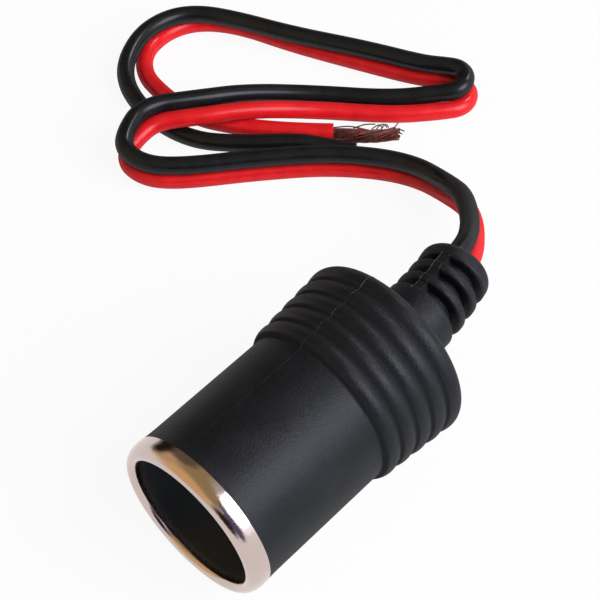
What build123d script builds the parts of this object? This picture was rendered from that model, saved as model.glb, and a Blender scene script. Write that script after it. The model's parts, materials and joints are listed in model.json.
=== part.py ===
from build123d import *
import math
import os

# A 12 V inline power socket on a short twin lead, lying on its side.
# Sizes are in millimetres. The socket is drawn along +Y from the crest of its rim, with its mouth
# towards -Y, and is then laid on the ground with its ribs and rim touching it.

# Cup that takes the plug
bore_d = 21.0              # standard plug socket
wall_end = 30.0            # where the straight wall of the bore stops
sheet = 0.5                # drawn sheet
rim_hollow = 0.35          # inner radius of the roll at the mouth
rim_roll = 2.2             # length of the rounded front of the rim
rim_skirt = 0.8            # straight skirt behind it
rim_proud = 0.15           # rim stands this far out of the barrel
step_in = 1.9              # the foot of the cup is narrower than its bore by this
foot_depth = 3.1
draw_round = 0.5           # inside radius of the drawn corners
floor_hole_d = 5.0

# Contact group in the foot of the cup
insulator_t = 1.7
contact_d = 8.0
contact_t = 0.4
contact_dish = 0.45        # the contact is dished forward by this much
rivet_d = 2.4
rivet_head_d = 4.0
rivet_head_t = 0.35
clinch_t = 0.8
rivet_dome = 0.75          # share of its height that a rivet's end has half way to its edge
washer_d = 6.6
washer_t = 0.8
tag_t = 0.5
tag_w = 3.2
tag_bend = 0.4             # outside radius of a tag's bend
tag_ring_d = 6.0
tag_rise = 3.1             # length of a tag's upright tongue
negative_at = 3.5          # inner face of the negative tongue, from the axis
negative_foot = 3.2        # length of the welded foot

# Moulding
barrel_wall = 1.5
lip_proud = 0.1            # the barrel swells this much at the rim
lip_len = 2.0
lip_fade = 0.25            # share of the swell left half way along it
collar_lap = 4.9           # the collar starts this far before the wall of the bore stops
first_rib = 3.1
rib_pitch = 2.87
rib_count = 5
last_rib = 3.2
first_crest = 0.95         # height of the first rib over the barrel
crest_gain = 0.27          # each rib is higher than the one before by this
groove_depth = 0.55
groove_round = 0.3
rear_round = 1.6
shoulder_rise = 1.2
shoulder_fillet = 3.0
neck_len = 1.6             # straight neck behind that fillet
neck_d = 12.0
chamber_wall = 1.0         # between the chamber and the back of the collar
chamber_round = 1.2

# Strain relief, bent sideways from the neck
relief_sunk = 2.6          # its first disc starts this far inside the neck
relief_bend = 14.5         # degrees, towards -X
relief_d = 11.8            # first disc, at the neck
relief_taper = 0.2         # each disc is smaller than the one before by this
relief_core_d = 8.0
relief_first_slot = 4.4    # from the start of the relief
slot_w = 1.4
relief_rib = 1.6
slot_count = 3
relief_end = 3.0           # last disc, where the cores come out
relief_rib_round = 0.5
relief_end_round = 1.6
spine_w = 1.3
spine_sunk = 0.1           # the spine lies this far under the last disc
relief_grip = 1.2          # core and spine run on this far into the disc they end in
parting_turn = 9.5         # degrees from upright, towards -X

# Lead
core_d = 3.1
core_spacing = 3.2
strand_d = 1.9
bare_len = 11.0
arc_share = 0.45           # share of a run that the arc at its end may take
exit_lean = -55.0          # degrees, red core below the level of the black one
core_stub = 0.4            # insulation that reaches into the chamber
tag_wire_d = 1.4           # stripped strands at the tags
tag_wire_end = 0.15        # they stop this far over the clinched rivet

# Clearances
fit = 0.05                 # seated pieces
core_fit = 0.08            # cores in the relief

bore_r = bore_d / 2
cup_r = bore_r + sheet
barrel_r = cup_r + barrel_wall
crest_r = bore_r + sheet + rim_hollow
rim_r = barrel_r + rim_proud
rim_len = rim_roll + rim_skirt
foot_r = bore_r - step_in
foot_end = wall_end + foot_depth
back_face = foot_end + sheet
ring_face = back_face + washer_t
clinch_face = ring_face + tag_t
insulator_face = foot_end - insulator_t
contact_face = insulator_face - contact_t - contact_dish
collar_start = wall_end - collar_lap
collar_end = collar_start + first_rib + (rib_count - 2) * rib_pitch + last_rib
chamber_end = collar_end - chamber_wall
neck_r = neck_d / 2
last_slot_end = relief_first_slot + slot_count * slot_w + (slot_count - 1) * relief_rib
relief_len = last_slot_end + relief_end
relief_radius = relief_len / math.radians(relief_bend)
shoulder_end = collar_end + shoulder_rise
neck_end = shoulder_end + shoulder_fillet + neck_len
relief_start = neck_end - relief_sunk
core_r = core_d / 2
strand_r = strand_d / 2
core_start = chamber_end - core_stub


def turned(outline):
    return revolve(outline, axis=Axis.Y)


def ring(outer_r, inner_r, start, length):
    with BuildSketch() as section:
        with Locations(((outer_r + inner_r) / 2, start + length / 2)):
            Rectangle(outer_r - inner_r, length)
    return turned(section.sketch)


def crest_radius(rib):
    return barrel_r + first_crest + crest_gain * rib


# Cup with its rolled rim and narrower foot
def socket_shell():
    roll = sheet + rim_hollow
    nose = (crest_r, roll)
    bulge = (crest_r, rim_roll)
    with BuildSketch() as section:
        with BuildLine():
            Polyline((floor_hole_d / 2, foot_end), (foot_r, foot_end), (foot_r, wall_end),
                     (bore_r, wall_end), (bore_r, roll))
            CenterArc(nose, roll, 180, 90)
            EllipticalCenterArc(bulge, rim_r - crest_r, rim_roll, 270, arc_size=90)
            Polyline((rim_r, rim_roll), (rim_r, rim_len), (rim_r - sheet, rim_len),
                     (rim_r - sheet, rim_roll))
            EllipticalCenterArc(bulge, rim_r - sheet - crest_r, rim_roll - sheet, 270, arc_size=90)
            CenterArc(nose, rim_hollow, 180, 90)
            Polyline((cup_r, roll), (cup_r, wall_end + sheet), (foot_r + sheet, wall_end + sheet),
                     (foot_r + sheet, back_face), (floor_hole_d / 2, back_face),
                     (floor_hole_d / 2, foot_end))
        make_face()
        inner = [(foot_r, foot_end), (foot_r + sheet, wall_end + sheet)]
        outer = [(cup_r, wall_end + sheet), (foot_r + sheet, back_face)]
        for corner in inner:
            fillet(section.vertices().sort_by_distance((*corner, 0))[0], draw_round)
        for corner in outer:
            fillet(section.vertices().sort_by_distance((*corner, 0))[0], draw_round + sheet)
    return turned(section.sketch)


# Contact group, held in the foot of the cup by one rivet
def base_insulator():
    disc = ring(foot_r - fit, rivet_d / 2 + fit, insulator_face, insulator_t)
    rim_edge = disc.edges().filter_by(GeomType.CIRCLE).group_by(SortBy.RADIUS)[-1].sort_by(Axis.Y)[-1]
    boss = ring(floor_hole_d / 2 - fit, rivet_d / 2 + fit, foot_end, sheet)
    return chamfer(rim_edge, draw_round) + boss


def centre_contact():
    hole = rivet_d / 2 + fit
    crown = rivet_head_d / 2
    edge = contact_d / 2
    slope = crown + 2 * contact_dish
    front = insulator_face - contact_t
    with BuildSketch() as section:
        with BuildLine():
            Polyline((hole, contact_face), (crown, contact_face), (slope, front), (edge, front),
                     (edge, insulator_face), (slope, insulator_face), (crown, insulator_face - contact_dish),
                     (hole, insulator_face - contact_dish), (hole, contact_face))
        make_face()
    return turned(section.sketch)


def contact_rivet():
    shank = rivet_d / 2
    head = rivet_head_d / 2
    with BuildSketch() as section:
        with BuildLine():
            Line((0, contact_face - rivet_head_t), (shank, contact_face - rivet_head_t))
            ThreePointArc((shank, contact_face - rivet_head_t),
                          ((shank + head) / 2, contact_face - rivet_dome * rivet_head_t),
                          (head, contact_face))
            Polyline((head, contact_face), (shank, contact_face), (shank, clinch_face), (head, clinch_face))
            ThreePointArc((head, clinch_face), ((shank + head) / 2, clinch_face + rivet_dome * clinch_t),
                          (shank, clinch_face + clinch_t))
            Polyline((shank, clinch_face + clinch_t), (0, clinch_face + clinch_t),
                     (0, contact_face - rivet_head_t))
        make_face()
    return turned(section.sketch)


def rear_insulator():
    return ring(washer_d / 2, rivet_d / 2 + fit, back_face, washer_t)


# A tag's strip lies flat on its seat, turns and stands up as a tongue
def bent_strip(flat_from, flat_to, seat):
    side = 1 if flat_to > flat_from else -1
    with BuildSketch() as section:
        with BuildLine():
            Polyline((flat_from, seat), (flat_to, seat), (flat_to, seat + tag_rise),
                     (flat_to - side * tag_t, seat + tag_rise), (flat_to - side * tag_t, seat + tag_t),
                     (flat_from, seat + tag_t), (flat_from, seat))
        make_face()
        bend = section.vertices().sort_by_distance((flat_to, seat, 0))[0]
        fillet(bend, tag_bend)
    return extrude(section.sketch, tag_w / 2, both=True)


def positive_tag():
    hole_r = rivet_d / 2 + fit
    disc = ring(tag_ring_d / 2, hole_r, ring_face, tag_t)
    strip = bent_strip(0, tag_ring_d / 2, ring_face) - ring(hole_r, 0, ring_face, tag_t)
    return disc + strip


def negative_tag():
    return bent_strip(-negative_at - negative_foot, -negative_at, back_face)


# Moulding, turned part: nose under the rim, barrel, ribbed collar, shoulder and neck
def barrel_and_collar():
    nose = rim_roll + fit
    nose_r = rim_r - sheet - fit
    lip = rim_len + fit
    grooves = [(barrel_r, collar_start)]
    with BuildSketch() as section:
        with BuildLine():
            Polyline((0, nose), (nose_r, nose), (nose_r, lip), (barrel_r + lip_proud, lip))
            ThreePointArc((barrel_r + lip_proud, lip), (barrel_r + lip_fade * lip_proud, lip + lip_len / 2),
                          (barrel_r, lip + lip_len))
            Line((barrel_r, lip + lip_len), grooves[0])
            for rib in range(rib_count):
                length = first_rib if rib == 0 else last_rib if rib == rib_count - 1 else rib_pitch
                start_r, start_u = grooves[-1]
                crest = (crest_radius(rib), start_u + length / 2)
                end_r = crest_radius(rib) + crest_gain / 2 - groove_depth
                ThreePointArc(grooves[-1], crest, (end_r, start_u + length))
                grooves.append((end_r, start_u + length))
            Polyline(grooves[-1], (neck_r, shoulder_end), (neck_r, neck_end), (0, neck_end), (0, nose))
        make_face()
        for groove in grooves[:-1]:
            fillet(section.vertices().sort_by_distance((*groove, 0))[0], groove_round)
        fillet(section.vertices().sort_by_distance((*grooves[-1], 0))[0], rear_round)
        fillet(section.vertices().sort_by_distance((neck_r, shoulder_end, 0))[0], shoulder_fillet)
    return turned(section.sketch)


# Strain relief: discs on a core that curves away from the neck, tied by a spine along the parting line
def relief_plane(distance):
    angle = distance / relief_radius
    centre = (relief_radius * (math.cos(angle) - 1), relief_start + relief_radius * math.sin(angle), 0)
    return Plane(origin=centre, x_dir=(0, 0, 1), z_dir=(-math.sin(angle), math.cos(angle), 0))


def relief_path(start, end):
    turn = math.degrees(1 / relief_radius)
    return CenterArc((-relief_radius, relief_start), relief_radius, start * turn, (end - start) * turn)


def relief_disc(order, start, end, front_round, back_round):
    disc = extrude(Circle((relief_d - order * relief_taper) / 2), end - start)
    disc = fillet(disc.edges().group_by(Axis.Z)[0], front_round)
    disc = fillet(disc.edges().group_by(Axis.Z)[-1], back_round)
    middle = relief_plane((start + end) / 2)
    return middle * Pos(0, 0, (start - end) / 2) * disc


def strain_relief():
    grip_end = last_slot_end + relief_grip
    relief = sweep(relief_plane(0) * Circle(relief_core_d / 2), path=relief_path(0, grip_end))
    end_d = relief_d - slot_count * relief_taper
    spine = Rot(0, 0, -parting_turn) * Rectangle(end_d - 2 * spine_sunk, spine_w)
    spine_start = relief_first_slot - relief_grip
    relief += sweep(relief_plane(spine_start) * spine, path=relief_path(spine_start, grip_end))
    relief += relief_disc(0, 0, relief_first_slot, relief_rib_round, relief_rib_round)
    start = relief_first_slot + slot_w
    for rib in range(1, slot_count):
        relief += relief_disc(rib, start, start + relief_rib, relief_rib_round, relief_rib_round)
        start += relief_rib + slot_w
    relief += relief_disc(slot_count, start, relief_len, relief_rib_round, relief_end_round)
    return relief


def cup_cavity():
    cup = ring(cup_r + fit, 0, 0, wall_end + sheet + fit)
    chamber = ring(foot_r + sheet + fit, 0, wall_end, chamber_end - wall_end)
    far_edge = chamber.edges().filter_by(GeomType.CIRCLE).sort_by(Axis.Y)[-1]
    cavity = cup + fillet(far_edge, chamber_round)
    seat = cavity.edges().filter_by(GeomType.CIRCLE).filter_by(
        lambda edge: abs(edge.radius - foot_r - sheet - fit) < fit).sort_by(Axis.Y)[0]
    return fillet(seat, draw_round)


# Lead: straight runs joined by tangent arcs, each as large as its two runs allow
def arc_radii(points):
    radii = []
    for before, corner, after in zip(points, points[1:], points[2:]):
        run_in = corner - before
        run_out = after - corner
        half_turn = math.radians(run_in.get_angle(run_out)) / 2
        radii.append(arc_share * min(run_in.length, run_out.length) / math.tan(half_turn))
    return radii


def tube(points, radius, corners):
    path = FilletPolyline(*points, radius=corners)
    return sweep(Plane(origin=path @ 0, z_dir=path % 0) * Circle(radius), path=path)


def rod(start, end, radius):
    run = end - start
    return Plane(origin=start, z_dir=run) * extrude(Circle(radius), run.length)


# The pair's red core lies beside the black one, at the lean given in degrees: 0 is level on the right
# of the route, -90 straight below and -180 level on the left.
def beside(points, leans):
    red = []
    last = len(points) - 1
    for place, (point, lean) in enumerate(zip(points, leans)):
        run_in = (points[max(place, 1)] - points[max(place, 1) - 1]).normalized()
        run_out = (points[min(place, last - 1) + 1] - points[min(place, last - 1)]).normalized()
        heading = run_in + run_out
        bend = run_out - run_in
        right = Vector(heading.Y, -heading.X, 0).normalized()
        up = right.cross(heading).normalized()
        offset = right * math.cos(math.radians(lean)) + up * math.sin(math.radians(lean))
        half = heading.length / 2
        mitre = bend * (offset.dot(bend) / (4 * half * (1 + half)))
        red.append(point + (offset + mitre) * core_spacing)
    return red


# Black core's route over the ground from the relief on: x, y, z and the lean of the pair
route = [
    (-4.8, 35.4, 15.40, -72),
    (-12.2, 43.4, 11.40, -68),
    (-18.1, 47.3, 7.20, -78),
    (-28.1, 48.4, 4.93, -87),
    (-38.4, 41.5, 4.80, -91),
    (-47.0, 31.5, 4.80, -91),
    (-53.9, 22.2, 4.85, -91),
    (-58.6, 17.3, 5.30, -92),
    (-63.4, 16.5, 5.95, -88),
    (-65.9, 18.9, 6.65, -74),
    (-68.2, 25.2, 7.20, -50),
    (-63.4, 33.3, 6.45, -26),
    (-59.4, 41.5, 5.00, -17),
    (-52.0, 51.2, 2.85, -15),
    (-41.9, 59.7, 2.62, -18),
    (-36.8, 64.9, 3.50, -36),
    (-33.6, 67.9, 4.30, -57),
    (-34.7, 71.3, 4.68, -73),
    (-38.2, 71.8, 4.80, -86),
    (-42.5, 68.3, 4.78, -96),
    (-52.0, 64.3, 4.78, -96),
    (-64.7, 57.9, 4.70, -74),
    (-74.8, 54.2, 4.45, -61),
    (-81.0, 50.4, 4.70, -71),
    (-84.1, 45.3, 4.80, -90),
    (-84.2, 38.3, 4.55, -113),
    (-79.8, 30.4, 3.50, -143),
    (-71.6, 27.7, 1.90, -174),
    (-60.9, 28.6, 1.60, -180),
    (-53.3, 33.8, 2.10, -171),
    (-46.6, 40.8, 2.30, -167),
]
black_tail = [(-41.8, 44.3, 1.6), (-38.3, 46.2, 1.6)]
red_tail = [(-44.2, 47.2, 1.6)]


# Everything rigid, then laid on the ground: the rim and the last rib touch it
shell = socket_shell()
moulding = barrel_and_collar() + strain_relief() - cup_cavity()
contact_group = {
    "base_insulator": base_insulator(),
    "centre_contact": centre_contact(),
    "contact_rivet": contact_rivet(),
    "rear_insulator": rear_insulator(),
    "positive_tag": positive_tag(),
    "negative_tag": negative_tag(),
}
last_crest = collar_end - last_rib / 2
tilt = math.degrees(math.atan2(crest_radius(rib_count - 1) - rim_r, last_crest - rim_roll))
leaned = Compound(children=[Rot(tilt, 0, 0) * shell, Rot(tilt, 0, 0) * moulding])
box = leaned.bounding_box()
lay = Pos(-(box.min.X + box.max.X) / 2, -(box.min.Y + box.max.Y) / 2, -box.min.Z) * Rot(tilt, 0, 0)


def laid(x, y, z):
    return (lay * Pos(x, y, z)).position


# Inside the neck and the relief the cores follow its curve, side by side
relief_stations = (0.3, 0.65, 1.0)


def inner_black_points():
    points = [laid(-core_spacing / 2, core_start, 0)]
    for share in relief_stations:
        lean = math.radians(share * exit_lean)
        up = -math.sin(lean) * core_spacing / 2
        right = -math.cos(lean) * core_spacing / 2
        spot = relief_plane(share * relief_len).from_local_coords((up, right, 0))
        points.append(laid(spot.X, spot.Y, spot.Z))
    return points


# Stripped strands run from the end of a core to the tongue of its tag
def tag_wire(core_x, tongue_x):
    stop = clinch_face + clinch_t + tag_wire_end
    turn = (core_start - stop) / 3
    points = [laid(core_x, core_start - fit, 0), laid(core_x, core_start - turn, 0),
              laid(tongue_x, stop + turn, 0), laid(tongue_x, stop, 0)]
    return tube(points, tag_wire_d / 2, arc_radii(points))


def bare_end(points):
    run = (points[-1] - points[-2]).normalized()
    return rod(points[-1], points[-1] + run * bare_len, strand_r)


inside = inner_black_points()
leans = [0] + [share * exit_lean for share in relief_stations] + [lean for x, y, z, lean in route]
pair = inside + [Vector(x, y, z) for x, y, z, lean in route]
black_points = pair + [Vector(*point) for point in black_tail]
red_points = beside(pair, leans) + [Vector(*point) for point in red_tail]

nodes = {"socket_shell": lay * shell}
nodes.update({name: lay * piece for name, piece in contact_group.items()})
body = lay * moulding
for name, points, core_x, tongue_x in (
        ("black", black_points, -core_spacing / 2, -negative_at + tag_wire_d / 2 + fit),
        ("red", red_points, core_spacing / 2, tag_ring_d / 2 - tag_t - tag_wire_d / 2 - fit)):
    radii = arc_radii(points)
    core = tube(points, core_r, radii)
    passage = len(inside) + 1
    body -= tube(points[:passage], core_r + core_fit, radii[:passage - 2])
    nodes[name + "_core"] = core
    nodes[name + "_bare_end"] = bare_end(points)
    nodes[name + "_tag_wire"] = tag_wire(core_x, tongue_x)
    length = core.volume / (math.pi * core_r ** 2)
    print(name, "core length", round(length, 1), "arc radii", [round(radius, 1) for radius in radii])
nodes["body_moulding"] = body

os.makedirs("parts", exist_ok=True)
for name, piece in nodes.items():
    export_step(piece, f"parts/{name}.step")
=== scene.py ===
import bpy
import json
import math
import random
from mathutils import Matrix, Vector


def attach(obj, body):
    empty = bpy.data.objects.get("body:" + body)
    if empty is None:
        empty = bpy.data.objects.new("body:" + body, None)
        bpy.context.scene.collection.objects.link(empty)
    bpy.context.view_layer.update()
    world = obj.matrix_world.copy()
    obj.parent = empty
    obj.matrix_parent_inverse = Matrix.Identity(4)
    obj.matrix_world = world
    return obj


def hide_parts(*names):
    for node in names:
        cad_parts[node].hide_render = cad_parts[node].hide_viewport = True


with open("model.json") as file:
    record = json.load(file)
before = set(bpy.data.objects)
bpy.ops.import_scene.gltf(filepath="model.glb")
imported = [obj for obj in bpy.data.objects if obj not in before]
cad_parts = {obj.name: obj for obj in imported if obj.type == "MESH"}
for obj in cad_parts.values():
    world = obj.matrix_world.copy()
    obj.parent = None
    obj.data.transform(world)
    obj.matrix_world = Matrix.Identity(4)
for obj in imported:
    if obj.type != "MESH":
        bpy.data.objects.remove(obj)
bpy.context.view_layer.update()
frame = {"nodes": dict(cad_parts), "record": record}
nodes = frame["nodes"]
scene = bpy.context.scene
print("frame loaded:", len(nodes), "CAD nodes")

# the socket's axis, from its bore: it lies a little nose down
bore = next(mount for mount in frame["record"]["mounts"] if mount["name"] == "plug_bore")
outward = Vector(bore["axis"])
rimRoll = 0.00085  # the straight bore starts this far behind the crest of the rim
crest = Vector(bore["pos_m"]) + outward * (bore["dims"]["length_mm"] / 2000 + rimRoll)
inward = -outward
upright = Vector((1, 0, 0)).cross(inward)


def laid(x, along, up):
    return crest + Vector((x, 0, 0)) + inward * along + upright * up


def alone(obj):  # only this object selected and active
    bpy.ops.object.select_all(action="DESELECT")
    obj.select_set(True)
    bpy.context.view_layer.objects.active = obj


def newObject(name, data):
    obj = bpy.data.objects.new(name, data)
    scene.collection.objects.link(obj)
    return obj


# camera
shot = dict(place=(0.08896, -0.10019, 0.19537), azimuth=43.76, elevation=50.29, lens=96, sensor=36,
            near=0.01, far=20)


def setCamera(look):
    data = bpy.data.cameras.new("shotCamera")
    data.lens = look["lens"]
    data.sensor_width = look["sensor"]
    data.clip_start = look["near"]
    data.clip_end = look["far"]
    cam = newObject("shotCamera", data)
    cam.location = look["place"]
    cam.rotation_euler = (math.radians(90 - look["elevation"]), 0, math.radians(look["azimuth"]))
    scene.camera = cam


setCamera(shot)
print("camera set")


# shader sums: a socket that can be added, multiplied and so on
class Val:
    def __init__(self, owner, socket):
        self.owner = owner
        self.socket = socket

    def sum(self, operation, a, b):
        return self.owner.add("ShaderNodeMath", {"operation": operation}, {0: a, 1: b})

    def __add__(self, other):
        return self.sum("ADD", self, other)

    def __radd__(self, other):
        return self.sum("ADD", other, self)

    def __sub__(self, other):
        return self.sum("SUBTRACT", self, other)

    def __rsub__(self, other):
        return self.sum("SUBTRACT", other, self)

    def __mul__(self, other):
        return self.sum("MULTIPLY", self, other)

    def atMost(self, other):
        return self.sum("MINIMUM", self, other)


class Finish:
    def __init__(self, name, tree=None):
        if tree is None:
            self.mat = bpy.data.materials.new(name)
            self.mat.use_nodes = True
            tree = self.mat.node_tree
        self.tree = tree
        self.shader = tree.nodes.get("Principled BSDF")

    def put(self, socket, value):
        if isinstance(value, Val):
            self.tree.links.new(value.socket, socket)
        else:
            socket.default_value = value

    def add(self, kind, settings, sockets, out=0):
        node = self.tree.nodes.new(kind)
        for key, value in settings.items():
            setattr(node, key, value)
        for key, value in sockets.items():
            self.put(node.inputs[key], value)
        return Val(self, node.outputs[out])

    def set(self, **values):
        for key, value in values.items():
            self.put(self.shader.inputs[key.replace("_", " ")], value)

    def place(self):
        return self.add("ShaderNodeTexCoord", {}, {}, out="Object")

    def vector(self, operation, a, b=(0, 0, 0), out=0):
        return self.add("ShaderNodeVectorMath", {"operation": operation}, {0: a, 1: b}, out=out)

    # grain is the noise's scale, detail and roughness
    def noise(self, at, grain):
        scale, detail, rough = grain
        return self.add("ShaderNodeTexNoise", {},
                        {"Vector": at, "Scale": scale, "Detail": detail, "Roughness": rough})

    def step(self, value, low, high, toLow=0.0, toHigh=1.0):
        return self.add("ShaderNodeMapRange", {"interpolation_type": "SMOOTHSTEP"},
                        {"Value": value, "From Min": low, "From Max": high,
                         "To Min": toLow, "To Max": toHigh})

    def blend(self, amount, a, b):
        return self.add("ShaderNodeMix", {"data_type": "RGBA"}, {0: amount, 6: a, 7: b}, out=2)

    def bump(self, height, strength, distance):
        return self.add("ShaderNodeBump", {},
                        {"Height": height, "Strength": strength, "Distance": distance})

    # how far in from the crest of the rim a point lies, and how far from the socket's axis
    def depth(self, at):
        return self.vector("DOT_PRODUCT", self.vector("SUBTRACT", at, crest), inward, out="Value")

    def radius(self, at):
        turned = self.vector("CROSS_PRODUCT", self.vector("SUBTRACT", at, crest), inward)
        return self.vector("LENGTH", turned, out="Value")

    # 0 where the surface faces the eye, 1 at the outline
    def edge(self):
        return self.add("ShaderNodeLayerWeight", {}, {"Blend": 0.5}, out="Facing")

    # 1 where the camera, a mirror or glass looks at it, 0 where it only sheds light
    def seen(self):
        ray = self.tree.nodes.new("ShaderNodeLightPath")
        eye, mirror, glass = [Val(self, ray.outputs[kind])
                              for kind in ("Is Camera Ray", "Is Glossy Ray", "Is Transmission Ray")]
        return (eye + mirror + glass).atMost(1.0)


def paint(obj, finish):
    obj.data.materials.clear()
    obj.data.materials.append(finish.mat)


# soft black PVC with a spark-eroded satin skin, with a painted shade in the grooves of the collar: darker
# colour there, and rougher so they lose their highlight
pvc = dict(name="sparkedPvc", colour=(0.0062, 0.0068, 0.0081, 1), paler=(0.0106, 0.0110, 0.0134, 1),
           paleBand=(0.35, 0.7), grain=(3600, 3, 0.6), mottle=(240, 4, 0.55), sparks=(1.0, 0.00007),
           rough=0.31, grainRough=0.35, mottleRough=0.1, edgeRough=0.36, grooveShadeRough=0.4, gloss=0.16,
           firstGroove=0.0282, pitch=0.00287, grooves=(0.0245, 0.0380), grooveShadeEnd=0.0002,
           grooveShadeBand=(0.0002, 0.0006))
# sharper and shinier where it was squeezed out between the halves of the mould, and painted paler too, a
# painted highlight along the fine line
shinyPvc = dict(pvc, name="shinyPvc", paler=(0.020, 0.020, 0.023, 1), rough=0.16, edgeRough=0.1,
                gloss=0.5)


def sparkedPvc(look):
    f = Finish(look["name"])
    at = f.place()
    grain = f.noise(at, look["grain"])
    mottle = f.noise(at, look["mottle"])
    depth = f.depth(at)
    fromGroove = f.add("ShaderNodeMath", {"operation": "PINGPONG"},
                       {0: depth - look["firstGroove"], 1: look["pitch"] / 2})
    start, end = look["grooves"]
    fade = look["grooveShadeEnd"]
    onCollar = f.step(depth, start, start + fade) * f.step(depth, end, end + fade, 1.0, 0.0)
    # painted shade: the grooves of the collar get the darker colour and more roughness
    grooveShade = f.step(fromGroove, *look["grooveShadeBand"], 1.0, 0.0) * onCollar
    pale = f.step(mottle * 0.6 + grain * 0.4, *look["paleBand"]) * (1 - grooveShade)
    skin = look["rough"] + (grain - 0.5) * look["grainRough"] + (mottle - 0.5) * look["mottleRough"]
    f.set(Base_Color=f.blend(pale, look["colour"], look["paler"]),
          Roughness=skin + f.edge() * look["edgeRough"] + grooveShade * look["grooveShadeRough"],
          Normal=f.bump(grain, *look["sparks"]))
    f.set(Specular_IOR_Level=look["gloss"])
    return f


# bright nickel at the rim; down the bore a painted shade where its inside lies in shadow: the colour
# darkens to the dull one, grows rougher and turns matte further in
nickel = dict(bright=(0.60, 0.49, 0.455, 1), dull=(0.100, 0.118, 0.136, 1), cloud=(900, 4, 0.6),
              scuff=(3800, 3, 0.6), dents=(0.45, 0.00005), rough=0.09, cloudRough=0.09, dullRough=0.4,
              fade=(0.0007, 0.0020), raggedFade=0.0016, shadeMatte=(0.0020, 0.0115), shadeMatteCover=0.9,
              boreWall=(0.0107, 0.0113))


def nickelPlate(look):
    f = Finish("nickelPlate")
    at = f.place()
    cloud = f.noise(at, look["cloud"])
    scuff = f.noise(at, look["scuff"])
    inBore = f.step(f.radius(at), *look["boreWall"], 1.0, 0.0)
    # painted shade down the bore: colour darkens with depth from a ragged start, then the metal turns
    # matte
    boreShade = f.step(f.depth(at) + (scuff - 0.5) * look["raggedFade"], *look["fade"]) * inBore
    shadeMatte = f.step(f.depth(at), *look["shadeMatte"]) * inBore
    f.set(Base_Color=f.blend(boreShade, look["bright"], look["dull"]), Metallic=1 - shadeMatte * look["shadeMatteCover"],
          Roughness=look["rough"] + cloud * look["cloudRough"] + boreShade * look["dullRough"],
          Normal=f.bump(cloud * 0.7 + scuff * 0.3, *look["dents"]))
    return f


# smooth sheath of the lead, faintly rippled, duller towards its outline
sheath = dict(black=(0.0060, 0.0066, 0.0074, 1), blackPaler=(0.0096, 0.0101, 0.0113, 1),
              red=(0.655, 0.0092, 0.0130, 1), redPaler=(0.745, 0.0135, 0.0155, 1), paleBand=(0.3, 0.7),
              ripple=(420, 3, 0.5), dust=(4200, 2, 0.6), waves=(0.12, 0.00004), rough=0.2,
              rippleRough=0.06, dustRough=0.05, edgeBand=(0.3, 0.8), edgeRough=0.5, gloss=0.2)


def leadSheath(name, colour, paler, look):
    f = Finish(name)
    at = f.place()
    ripple = f.noise(at, look["ripple"])
    dust = f.noise(at, look["dust"])
    skin = look["rough"] + ripple * look["rippleRough"] + dust * look["dustRough"]
    f.set(Base_Color=f.blend(f.step(ripple, *look["paleBand"]), colour, paler),
          Roughness=skin + f.step(f.edge(), *look["edgeBand"]) * look["edgeRough"],
          Normal=f.bump(ripple * 0.8 + dust * 0.2, *look["waves"]))
    f.set(Specular_IOR_Level=look["gloss"])
    return f


# tarnished copper: dark and dull in patches
copper = dict(dark=(0.024, 0.0095, 0.008, 1), warm=(0.20, 0.040, 0.030, 1), patch=(1400, 4, 0.65),
              warmBand=(0.36, 0.62), metalBand=(0.4, 0.7, 0.35, 0.85), rough=0.42, patchRough=0.2)


def oldCopper(look):
    f = Finish("oldCopper")
    at = f.place()
    patch = f.noise(at, look["patch"])
    f.set(Base_Color=f.blend(f.step(patch, *look["warmBand"]), look["dark"], look["warm"]),
          Metallic=f.step(patch, *look["metalBand"]),
          Roughness=look["rough"] + patch * look["patchRough"])
    return f


brass = dict(bright=(0.62, 0.45, 0.19, 1), dull=(0.40, 0.27, 0.11, 1), smear=(700, 4, 0.6),
             dullBand=(0.35, 0.7), rough=0.22, smearRough=0.2)


def plainBrass(look):
    f = Finish("plainBrass")
    at = f.place()
    smear = f.noise(at, look["smear"])
    f.set(Base_Color=f.blend(f.step(smear, *look["dullBand"]), look["bright"], look["dull"]),
          Roughness=look["rough"] + smear * look["smearRough"])
    f.set(Metallic=1.0)
    return f


phenolic = dict(colour=(0.022, 0.018, 0.015, 1), paler=(0.05, 0.04, 0.032, 1), fleck=(2600, 3, 0.6),
                paleBand=(0.4, 0.75), pits=(0.3, 0.00003), rough=0.5, fleckRough=0.2)


def phenolicBoard(look):
    f = Finish("phenolicBoard")
    at = f.place()
    fleck = f.noise(at, look["fleck"])
    f.set(Base_Color=f.blend(f.step(fleck, *look["paleBand"]), look["colour"], look["paler"]),
          Roughness=look["rough"] + fleck * look["fleckRough"],
          Normal=f.bump(fleck, *look["pits"]))
    return f


moulding = sparkedPvc(pvc)
shinyEdge = sparkedPvc(shinyPvc)
plate = nickelPlate(nickel)
blackSheath = leadSheath("blackSheath", sheath["black"], sheath["blackPaler"], sheath)
redSheath = leadSheath("redSheath", sheath["red"], sheath["redPaler"], sheath)
strandCopper = oldCopper(copper)
contactBrass = plainBrass(brass)
board = phenolicBoard(phenolic)
painted = [
    (moulding, ["body_moulding"]),
    (plate, ["socket_shell"]),
    (board, ["base_insulator", "rear_insulator"]),
    (contactBrass, ["centre_contact", "contact_rivet", "positive_tag", "negative_tag"]),
    (strandCopper, ["black_tag_wire", "red_tag_wire"]),
]
for finish, names in painted:
    for name in names:
        paint(nodes[name], finish)
print("finishes made")


# round wire along curves: around and along are how finely it is cut
def newCurve(name, thick, around, along):
    curve = bpy.data.curves.new(name, "CURVE")
    curve.dimensions = "3D"
    curve.resolution_u = along
    curve.bevel_depth = thick / 2
    curve.bevel_resolution = around
    curve.use_fill_caps = True
    return curve


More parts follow.
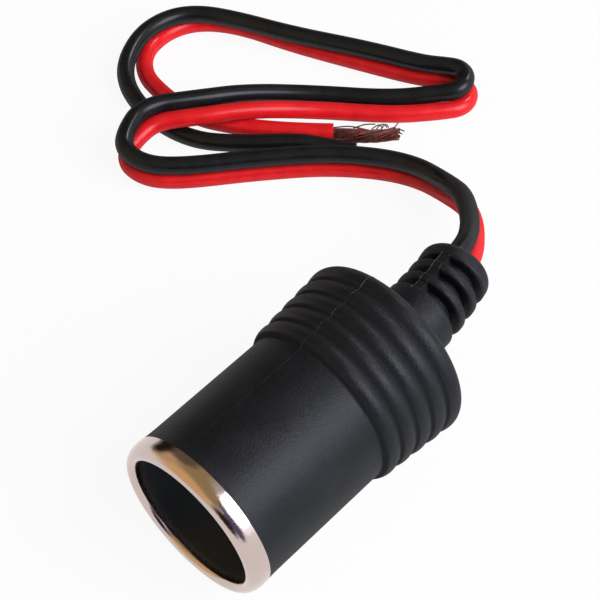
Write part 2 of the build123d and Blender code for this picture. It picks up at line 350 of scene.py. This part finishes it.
def addLine(curve, spots, kind="NURBS"):
    line = curve.splines.new(kind)
    line.points.add(len(spots) - 1)
    for point, spot in zip(line.points, spots):
        point.co = (*spot, 1)
    line.order_u = 3  # this and the next count for NURBS alone
    line.use_endpoint_u = True


def toMesh(obj, sharp):  # edges over this many degrees stay sharp
    alone(obj)
    bpy.ops.object.convert(target="MESH")
    bpy.ops.object.shade_smooth_by_angle(angle=math.radians(sharp))


# the lead: two cores side by side, from inside the relief to their stripped ends
blackLead = dict(
    name="blackLead", node="black_core", slot="black_sheath", thick=0.0031, length=0.2937,
    exit=(-0.00275, 0.02840, 0.01682),
    route=[
        (-0.00160, 0.00948, 0.01452), (-0.00170, 0.01836, 0.01544), (-0.00207, 0.02338, 0.01618),
        (-0.00275, 0.02840, 0.01682), (-0.00480, 0.03540, 0.01540), (-0.01220, 0.04340, 0.01140),
        (-0.01810, 0.04730, 0.00720), (-0.02810, 0.04840, 0.00493), (-0.03840, 0.04150, 0.00480),
        (-0.04700, 0.03150, 0.00480), (-0.05390, 0.02220, 0.00485), (-0.05860, 0.01730, 0.00530),
        (-0.06340, 0.01650, 0.00595), (-0.06590, 0.01890, 0.00665), (-0.06820, 0.02520, 0.00720),
        (-0.06340, 0.03330, 0.00645), (-0.05940, 0.04150, 0.00500), (-0.05200, 0.05120, 0.00285),
        (-0.04180, 0.05959, 0.00262), (-0.03562, 0.06580, 0.00380), (-0.03389, 0.06727, 0.00434),
        (-0.03359, 0.06944, 0.00477), (-0.03491, 0.07130, 0.00492), (-0.03711, 0.07178, 0.00490),
        (-0.03917, 0.07056, 0.00486), (-0.04250, 0.06830, 0.00478), (-0.05200, 0.06430, 0.00478),
        (-0.06470, 0.05790, 0.00470), (-0.07480, 0.05420, 0.00445), (-0.08100, 0.05040, 0.00470),
        (-0.08410, 0.04530, 0.00480), (-0.08420, 0.03830, 0.00455), (-0.07980, 0.03040, 0.00350),
        (-0.07160, 0.02770, 0.00190), (-0.06090, 0.02860, 0.00160), (-0.05330, 0.03380, 0.00210),
        (-0.04660, 0.04080, 0.00230), (-0.04180, 0.04430, 0.00160), (-0.03830, 0.04620, 0.00160),
    ])
redLead = dict(
    name="redLead", node="red_core", slot="red_sheath", thick=0.0031, length=0.2875,
    exit=(-0.00095, 0.02869, 0.01417),
    route=[
        (0.00160, 0.00951, 0.01452), (0.00136, 0.01861, 0.01453), (0.00049, 0.02390, 0.01433),
        (-0.00095, 0.02869, 0.01417), (-0.00353, 0.03515, 0.01247), (-0.01045, 0.04347, 0.00872),
        (-0.01672, 0.04760, 0.00425), (-0.02777, 0.04873, 0.00174), (-0.03835, 0.04147, 0.00160),
        (-0.04696, 0.03146, 0.00160), (-0.05393, 0.02208, 0.00165), (-0.05760, 0.01814, 0.00200),
        (-0.06060, 0.01680, 0.00234), (-0.06320, 0.01680, 0.00272), (-0.06526, 0.01848, 0.00314),
        (-0.06580, 0.02189, 0.00401), (-0.06549, 0.02585, 0.00480), (-0.06074, 0.03153, 0.00525),
        (-0.05620, 0.03920, 0.00466), (-0.04950, 0.04870, 0.00234), (-0.03967, 0.05738, 0.00163),
        (-0.03474, 0.06321, 0.00164), (-0.03167, 0.06753, 0.00167), (-0.03371, 0.07168, 0.00164),
        (-0.03791, 0.07151, 0.00161), (-0.04232, 0.06801, 0.00160), (-0.05185, 0.06400, 0.00160),
        (-0.06501, 0.05873, 0.00162), (-0.07549, 0.05560, 0.00165), (-0.08181, 0.05110, 0.00168),
        (-0.08408, 0.04533, 0.00160), (-0.08299, 0.03884, 0.00160), (-0.07860, 0.03460, 0.00160),
        (-0.07300, 0.03340, 0.00159), (-0.06450, 0.03300, 0.00160), (-0.05640, 0.03720, 0.00160),
        (-0.04884, 0.04297, 0.00158), (-0.04420, 0.04720, 0.00160),
    ])


def layLead(lead, finish):
    curve = newCurve(lead["name"], lead["thick"], around=8, along=10)
    addLine(curve, lead["route"])
    obj = newObject(lead["name"], curve)
    paint(obj, finish)
    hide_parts(lead["node"])
    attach(obj, "root")
    return obj


blackCore = layLead(blackLead, blackSheath)
redCore = layLead(redLead, redSheath)
print("lead laid")


# stripped ends: a loose twist of fine strands, some of them broken out of it
strands = dict(count=64, thick=0.00024, bundle=0.00086, swell=0.5, sag=0.0006, reach=0.0119,
               ragged=0.0021, sunk=0.0004, spin=2.39996, twist=0.55, wave=0.0001, lean=0.0002, steps=10,
               seed=7)


def strandBundle(name, lead, node, look, strays):
    rng = random.Random(look["seed"] + len(name))
    end = Vector(lead["route"][-1])
    run = (end - Vector(lead["route"][-2])).normalized()
    side = run.cross(Vector((0, 0, 1))).normalized()
    up = side.cross(run)
    curve = newCurve(name, look["thick"], around=1, along=3)
    for k in range(look["count"]):
        spread = look["bundle"] * math.sqrt((k + 0.5) / look["count"])
        angle = k * look["spin"] + rng.uniform(-0.3, 0.3)
        reach = look["reach"] - look["ragged"] * rng.random() ** 1.5
        lean = Vector((rng.uniform(-1, 1), rng.uniform(-1, 1)))
        spots = []
        for i in range(look["steps"]):
            t = i / (look["steps"] - 1)
            turn = angle + look["twist"] * 2 * math.pi * t * (0.75 + 0.4 * spread / look["bundle"])
            # drawn in at the sheath, fullest past the middle
            out = spread * (0.92 + look["swell"] * math.sin(math.pi * min(t * 1.1, 0.75)))
            a = math.cos(turn) * out + rng.uniform(-1, 1) * look["wave"] + lean.x * look["lean"] * t * t
            b = math.sin(turn) * out + rng.uniform(-1, 1) * look["wave"] + lean.y * look["lean"] * t * t
            a += look["sag"] * (0.45 + math.sin(math.pi * t))
            spot = end + run * (reach * t - look["sunk"]) + side * a + up * b
            spot.z = max(spot.z, look["thick"] * 0.6)
            spots.append(spot)
        addLine(curve, spots)
    for bend in strays:
        addLine(curve, [end + (run * a + side * b + up * c) * 0.001 for a, b, c in bend])
    obj = newObject(name, curve)
    toMesh(obj, sharp=50)
    paint(obj, strandCopper)
    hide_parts(node)
    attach(obj, "root")
    return obj


# each stray: millimetres along the end, to its right and up
redStrays = [
    [(-0.2, -0.75, 0.3), (1.2, -0.75, 0.6), (2.6, -0.8, 0.7), (4.0, -0.7, 0.6), (5.4, -0.4, 0.4)],
    [(3.4, -0.5, 0.5), (4.6, -0.9, 0.8), (5.8, -1.2, 0.9), (7.2, -1.3, 0.8)],
    [(6.6, -0.5, 0.4), (7.4, -1.1, 0.7), (8.1, -1.2, 0.8), (8.5, -0.6, 0.6)],
    [(7.4, -0.6, 0.3), (8.0, -1.2, 0.8), (8.8, -1.3, 0.9), (9.2, -0.7, 0.6)],
    [(8.2, -0.5, 0.4), (8.6, -1.1, 0.8), (9.2, -1.4, 0.8), (9.5, -0.8, 0.5)],
    [(10.2, -0.6, 0.3), (10.6, -0.9, 0.6), (10.9, -1.3, 0.8), (11.1, -1.6, 0.8)],
    [(9.0, 0.9, 0.2), (9.9, 1.3, 0.1), (10.5, 1.6, 0.0), (10.9, 1.5, -0.2)],
    [(8.0, 0.3, 0.7), (9.6, 0.4, 1.0), (10.9, 0.7, 0.9), (11.8, 0.8, 0.6)],
    [(9.0, -0.4, 0.4), (10.2, -0.5, 0.6), (11.6, -0.4, 0.5), (12.2, -0.1, 0.4)],
]
blackStrays = [
    [(5.0, 0.5, 0.4), (7.0, 0.8, 0.7), (9.2, 0.7, 0.8)],
    [(7.0, -0.5, 0.4), (8.8, -0.8, 0.6), (10.4, -0.8, 0.4)],
]
redStrands = strandBundle("redStrands", redLead, "red_bare_end", strands, redStrays)
blackStrands = strandBundle("blackStrands", blackLead, "black_bare_end", strands, blackStrays)
print("strands twisted")


# fine flash where the two halves of the mould met, over barrel, ribs and shoulder, above and below
flash = dict(turn=11.0, proud=0.00005, start=0.0036, shoulderAt=0.0397, end=0.0449,
             barrelSkin=0.0119, neckSkin=0.0055)


def mouldFlash(look):
    body = nodes["body_moulding"]
    obj = newObject("mouldFlash", body.data.copy())
    alone(obj)
    turn = math.radians(look["turn"])
    across = Vector((math.cos(turn), 0, 0)) + upright * math.sin(turn)
    bpy.ops.object.mode_set(mode="EDIT")
    bpy.ops.mesh.select_all(action="SELECT")
    bpy.ops.mesh.remove_doubles(threshold=0.000001)
    bpy.ops.mesh.select_all(action="SELECT")
    bpy.ops.mesh.bisect(plane_co=crest, plane_no=across, clear_inner=True, clear_outer=True)
    bpy.ops.mesh.select_all(action="DESELECT")
    bpy.ops.object.mode_set(mode="OBJECT")
    for vertex in obj.data.vertices:  # what isn't on the outer skin goes
        far = vertex.co - crest
        depth = far.dot(inward)
        radius = (far - inward * depth).length
        skin = look["barrelSkin"] if depth < look["shoulderAt"] else look["neckSkin"]
        vertex.select = not (look["start"] < depth < look["end"] and radius > skin)
    bpy.ops.object.mode_set(mode="EDIT")
    bpy.ops.mesh.delete(type="VERT")
    bpy.ops.object.mode_set(mode="OBJECT")
    bpy.ops.object.convert(target="CURVE")
    obj.data.bevel_depth = look["proud"]
    obj.data.bevel_resolution = 1
    obj.data.use_fill_caps = True
    toMesh(obj, sharp=60)
    paint(obj, shinyEdge)
    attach(obj, "root")
    print("flash:", len(obj.data.polygons), "faces")


mouldFlash(flash)


# the same parting line over the relief, a bead along each edge of the spine that ties its discs
relief = dict(start=0.04321, radius=0.05848, run=(0.0036, 0.0122), turn=-9.5, edge=0.00065,
              outside=0.009, steps=86,
              beads=[("spineBead", -1, 0.00007), ("spineBeadRight", 1, 0.00004)])


def spineBead(look, name, side, proud):
    body = nodes["body_moulding"]
    turn = math.radians(look["turn"])
    first, last = look["run"]
    spots = []
    for i in range(look["steps"] + 1):
        angle = (first + (last - first) * i / look["steps"]) / look["radius"]
        across = Vector((math.cos(angle), 0, 0)) + inward * math.sin(angle)
        out = upright * math.cos(turn) + across * math.sin(turn)
        sideways = across * math.cos(turn) - upright * math.sin(turn)
        along = look["start"] + look["radius"] * math.sin(angle)
        centre = laid(look["radius"] * (math.cos(angle) - 1), along, 0)
        eye = centre + out * look["outside"] + sideways * look["edge"] * side
        hit, spot = body.ray_cast(eye, -out, distance=look["outside"])[:2]
        if hit:
            spots.append(spot)
    curve = newCurve(name, proud * 2, around=1, along=1)
    addLine(curve, spots, "POLY")
    obj = newObject(name, curve)
    toMesh(obj, sharp=60)
    paint(obj, shinyEdge)
    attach(obj, "root")


for row in relief["beads"]:
    spineBead(relief, *row)
print("parting line raised")


# stage: white floor and world, one large soft lamp, and cards that only the gloss and the metal mirror
stage = dict(floor=3.0, under=0.00002, grey=0.9, worldFill=0.25, floorGlow=0.92)


def addPlane(name, size, place):
    bpy.ops.mesh.primitive_plane_add(size=size, location=place)
    obj = bpy.context.view_layer.objects.active
    obj.name = name
    return obj


def setStage(look):
    floor = addPlane("stageFloor", look["floor"], (0, 0, -look["under"]))
    f = Finish("stageFloor")
    f.set(Base_Color=(look["grey"], look["grey"], look["grey"], 1), Roughness=0.9, Specular_IOR_Level=0.0)
    glow = f.add("ShaderNodeEmission", {}, {"Color": (1, 1, 1, 1), "Strength": 1.0})
    mixed = f.add("ShaderNodeMixShader", {}, {0: f.seen() * look["floorGlow"], 2: glow})
    f.tree.links.new(f.shader.outputs[0], mixed.socket.node.inputs[1])
    f.tree.links.new(mixed.socket, f.tree.nodes["Material Output"].inputs["Surface"])
    paint(floor, f)
    world = bpy.data.worlds.new("studio")
    scene.world = world
    world.use_nodes = True
    w = Finish("studio", world.node_tree)
    back = w.tree.nodes["Background"]
    back.inputs["Color"].default_value = (1, 1, 1, 1)
    w.put(back.inputs["Strength"], look["worldFill"] + w.seen() * (1 - look["worldFill"]))


# a direction as seen from the socket: 0 is in front of its mouth, 90 to its right
def towards(azimuth, elevation, distance):
    a = math.radians(azimuth)
    e = math.radians(elevation)
    return Vector((math.sin(a) * math.cos(e), -math.cos(a) * math.cos(e), math.sin(e))) * distance


def softbox(name, look):
    data = bpy.data.lights.new(name, "AREA")
    data.shape = "RECTANGLE"
    data.size, data.size_y = look["size"]
    data.energy = look["power"]
    data.color = look["colour"]
    lamp = newObject(name, data)
    lamp.location = towards(*look["at"])
    lamp.rotation_euler = (-lamp.location).to_track_quat("-Z", "Y").to_euler()
    lamp.visible_camera = False
    lamp.visible_glossy = False  # the gloss and the metal see its soft-edged card


# an oval card with a soft edge, that only gloss and metal see
def card(name, at, size, soft, colour):
    place = towards(*at)
    obj = addPlane(name, 1, place)
    obj.scale = (size[0], size[1], 1)
    obj.rotation_euler = (-place).to_track_quat("Z", "Y").to_euler()
    obj.visible_camera = False
    obj.visible_diffuse = False
    obj.visible_shadow = False
    f = Finish(name)
    middle = f.vector("SUBTRACT", f.add("ShaderNodeTexCoord", {}, {}, out="UV"), (0.5, 0.5, 0))
    f.set(Alpha=f.step(f.vector("LENGTH", middle, out="Value"), 0.5 - soft, 0.5, 1.0, 0.0))
    f.set(Base_Color=(0, 0, 0, 1), Roughness=1.0, Specular_IOR_Level=0.0)
    f.set(Emission_Color=colour, Emission_Strength=1.0)
    paint(obj, f)


key = dict(at=(106, 37, 0.7), size=(0.58, 0.74), power=8.5, colour=(0.87, 0.89, 1.0))
# each card: azimuth, elevation and distance, then size, width of the soft edge and light
cards = [
    ("paleCard", (106, 36, 0.75), (0.74, 0.98), 0.1, (1.5, 1.5, 1.62, 1)),
    ("softCard", (106, 40, 0.7), (0.54, 0.62), 0.18, (8.6, 8.8, 9.9, 1)),
    ("ceiling", (0, 90, 1.2), (3.2, 3.2), 0.15, (0.40, 0.30, 0.15, 1)),
    ("warmCard", (-24, 33, 1.0), (2.6, 1.8), 0.35, (0.85, 0.57, 0.28, 1)),
    ("tanCard", (-80, 30, 0.98), (0.95, 1.15), 0.35, (0.66, 0.46, 0.25, 1)),
    ("backCard", (-132, 36, 0.95), (1.5, 1.4), 0.15, (0.14, 0.11, 0.08, 1)),
    ("darkCard", (40, 20, 0.85), (0.9, 0.85), 0.28, (0.03, 0.02, 0.018, 1)),
    ("blueCard", (72, 30, 0.8), (0.5, 1.0), 0.1, (0.10, 0.10, 0.18, 1)),
    ("sideCard", (-104, 16, 0.8), (0.88, 0.58), 0.3, (0.01, 0.01, 0.01, 1)),
    ("bendCard", (178, 46, 0.8), (0.16, 0.16), 0.2, (33, 34, 36, 1)),
    ("hazeCard", (136, 66, 0.72), (0.45, 0.4), 0.35, (0.5, 0.49, 0.48, 1)),
]
setStage(stage)
softbox("keySoftbox", key)
for row in cards:
    card(*row)
scene.view_settings.view_transform = "Standard"
print("stage set")
